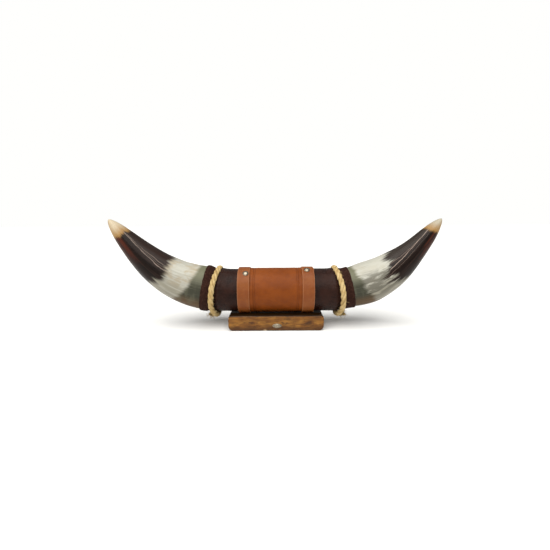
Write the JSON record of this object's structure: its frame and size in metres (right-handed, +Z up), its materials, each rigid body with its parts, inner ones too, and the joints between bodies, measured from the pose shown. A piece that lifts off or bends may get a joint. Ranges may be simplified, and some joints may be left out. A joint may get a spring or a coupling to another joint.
{
  "type": "bison horn mount",
  "caption": "Pair of polished horns joined by a leather-covered core with tan belt, studded straps and rope ties, standing on a wooden foot block.",
  "frame": {"origin": "middle of the foot block's underside, on the table", "axes": "+X along the mount to the viewer's right, +Z up, -Y faces the front where the tack is"},
  "size_m": [0.503, 0.081, 0.1699],
  "materials": {
    "horn": "polished horn, ivory, cream, grey-green and dark brown",
    "softwood": "bare softwood",
    "dark_leather": "dark brown leather, suede at the cuffs",
    "tan_leather": "smooth tan leather, low sheen",
    "nickel": "worn nickel plate",
    "steel": "plain steel",
    "rope": "straw-coloured three-strand twisted rope",
    "varnished_wood": "knotty brown wood under varnish"
  },
  "bodies": {
    "root": {"horn_left": "horn", "horn_right": "horn", "core": "softwood", "sleeve": "dark_leather", "belt": "tan_leather", "strap_left": "tan_leather", "strap_right": "tan_leather", "stud_left": "nickel", "stud_right": "nickel", "rope_left": "rope", "rope_right": "rope", "block": "varnished_wood", "tack": "nickel", "screw_left": "steel", "screw_right": "steel"}
  },
  "joints": []
}
